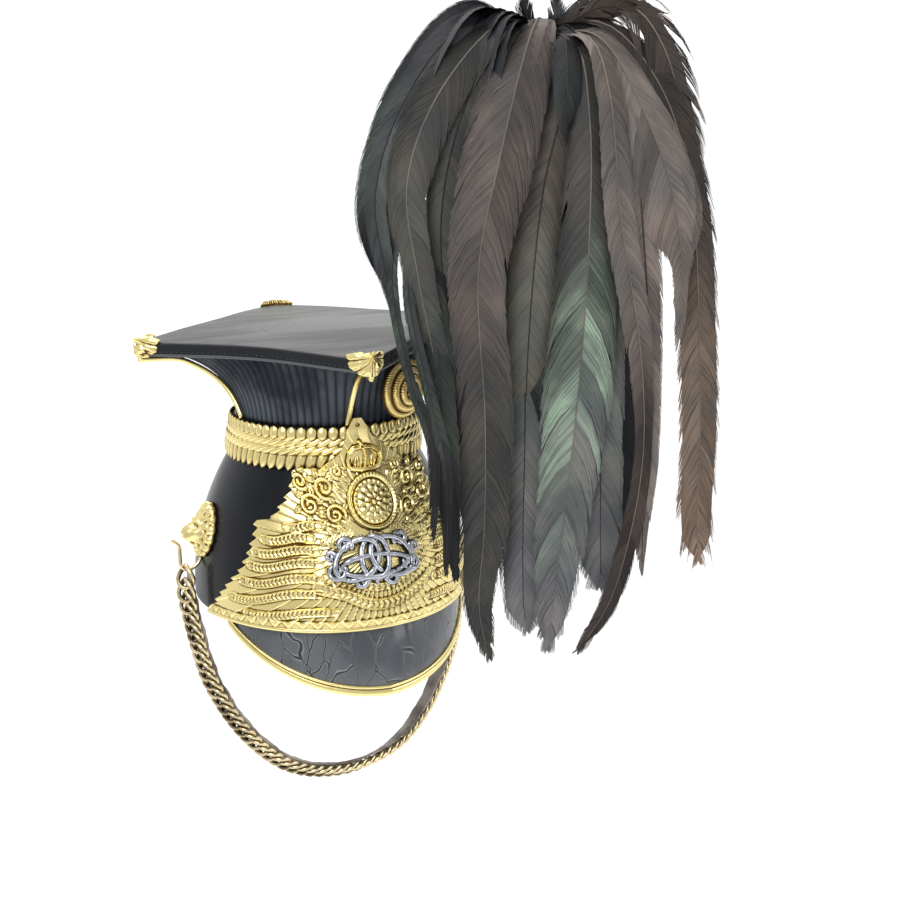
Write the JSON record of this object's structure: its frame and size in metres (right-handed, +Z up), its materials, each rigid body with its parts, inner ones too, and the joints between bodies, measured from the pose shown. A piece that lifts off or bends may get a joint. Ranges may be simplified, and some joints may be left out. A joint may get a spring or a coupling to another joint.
{
  "type": "lancer cap",
  "caption": "Lancer cap with a bell-shaped leather skull, fluted cloth body, square leather top, gilt front plate, band and lion bosses, a chin chain and a drooping feather plume.",
  "frame": {"origin": "centre of the head opening, in the plane of the rim", "axes": "+Z up, -Y towards the front with the peak and the plate, +X towards the wearer's left with the plume"},
  "size_m": [0.3144, 0.2866, 0.4891],
  "materials": {
    "patent_leather": "black patent, glossy, crazed on the peak",
    "cloth": "dark blue melton cloth, fluted",
    "top_leather": "dark leather with a grey sheen",
    "gilt": "fire-gilt stamped metal, darkened in the hollows",
    "silver": "tarnished silver plate",
    "aged_brass": "aged brass with worn gilding",
    "bullion": "twisted gold cord",
    "velvet": "worn dark velvet",
    "feather": "black-brown cock's feathers with a green sheen"
  },
  "bodies": {
    "root": {"skull": "patent_leather", "cloth_body": "cloth", "square_top": "top_leather", "waist_band": "gilt", "front_plate": "gilt", "plate_knot": "silver", "peak": "patent_leather", "peak_binding": "gilt", "lion_boss_left": "gilt", "lion_boss_right": "gilt", "chain_hook_left": "aged_brass", "chain_hook_right": "aged_brass", "chin_chain": "aged_brass", "chain_velvet": "velvet", "corner_leaf_front": "gilt", "corner_leaf_left": "gilt", "corner_leaf_back": "gilt", "corner_leaf_right": "gilt", "corner_wire_front": "gilt", "corner_wire_left": "gilt", "corner_wire_back": "gilt", "corner_wire_right": "gilt", "rosette": "bullion", "plume_stem": "aged_brass", "plume": "feather"}
  },
  "joints": []
}
